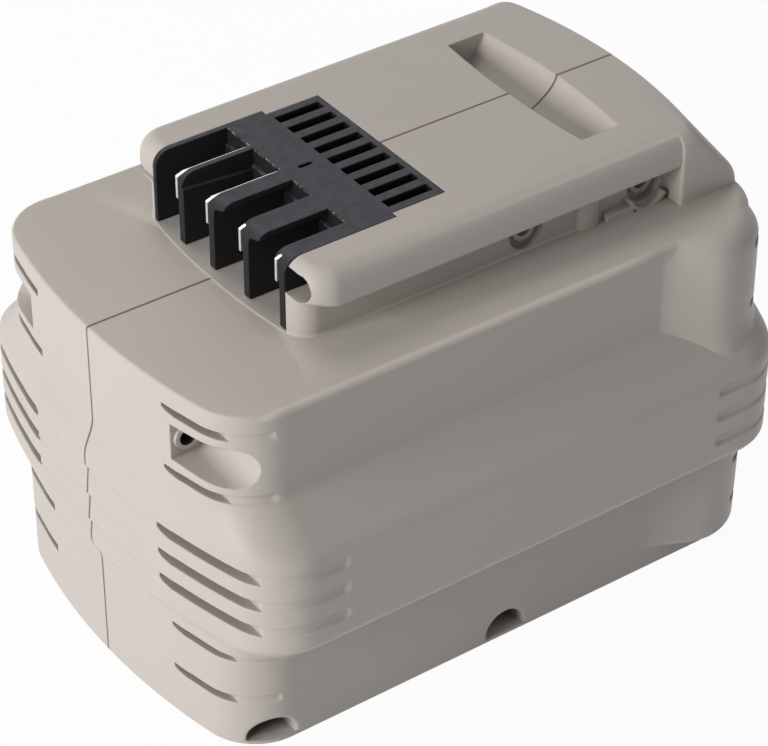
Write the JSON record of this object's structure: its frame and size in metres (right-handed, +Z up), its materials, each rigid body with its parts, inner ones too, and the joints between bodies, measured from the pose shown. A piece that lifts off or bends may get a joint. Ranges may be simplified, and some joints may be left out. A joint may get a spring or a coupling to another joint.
{
  "type": "power tool battery pack",
  "caption": "Slide-in battery pack for a power tool: clamshell case with a wide middle layer, slide rail, finned terminal block and latch pocket.",
  "frame": {"origin": "on the ground under the middle of the pack", "axes": "+Z up towards the slide rail, -Y towards the end that enters the tool, X across the seam"},
  "size_m": [0.0958, 0.1286, 0.0879],
  "materials": {
    "case_plastic": "satin with a fine moulded grain",
    "block_plastic": "satin",
    "contact_nickel": "bright nickel plate",
    "cell_sleeve": "shrink sleeve over a steel can",
    "washer_paper": "plain",
    "link_nickel": "plain nickel strip",
    "fibre_board": "plain fibre board",
    "foam": "closed-cell foam",
    "cutout_steel": "plain",
    "bead_epoxy": "dipped epoxy",
    "lead_red": "wire insulation",
    "lead_black": "wire insulation",
    "lead_blue": "wire insulation",
    "lead_white": "wire insulation",
    "screw_steel": "zinc plate"
  },
  "bodies": {
    "root": {"left_case_half": "case_plastic", "right_case_half": "case_plastic", "left_rail_half": "case_plastic", "right_rail_half": "case_plastic", "terminal_block": "block_plastic", "positive_contact": "contact_nickel", "sense_contact_a": "contact_nickel", "sense_contact_b": "contact_nickel", "negative_contact": "contact_nickel", "cell_01": "cell_sleeve", "cell_02": "cell_sleeve", "cell_03": "cell_sleeve", "cell_04": "cell_sleeve", "cell_05": "cell_sleeve", "cell_06": "cell_sleeve", "cell_07": "cell_sleeve", "cell_08": "cell_sleeve", "cell_09": "cell_sleeve", "cell_10": "cell_sleeve", "cell_11": "cell_sleeve", "cell_12": "cell_sleeve", "cell_13": "cell_sleeve", "cell_14": "cell_sleeve", "cell_15": "cell_sleeve", "cell_16": "cell_sleeve", "cell_17": "cell_sleeve", "cell_18": "cell_sleeve", "cell_19": "cell_sleeve", "cell_20": "cell_sleeve", "cell_washers": "washer_paper", "front_links": "link_nickel", "middle_links": "link_nickel", "rear_links": "link_nickel", "front_board": "fibre_board", "middle_board": "fibre_board", "rear_board": "fibre_board", "top_pad": "foam", "bottom_pad": "foam", "thermal_cutout": "cutout_steel", "thermistor": "bead_epoxy", "positive_lead": "lead_red", "negative_lead": "lead_black", "thermistor_lead_a": "lead_blue", "thermistor_lead_b": "lead_white", "case_screws": "screw_steel"}
  },
  "joints": []
}
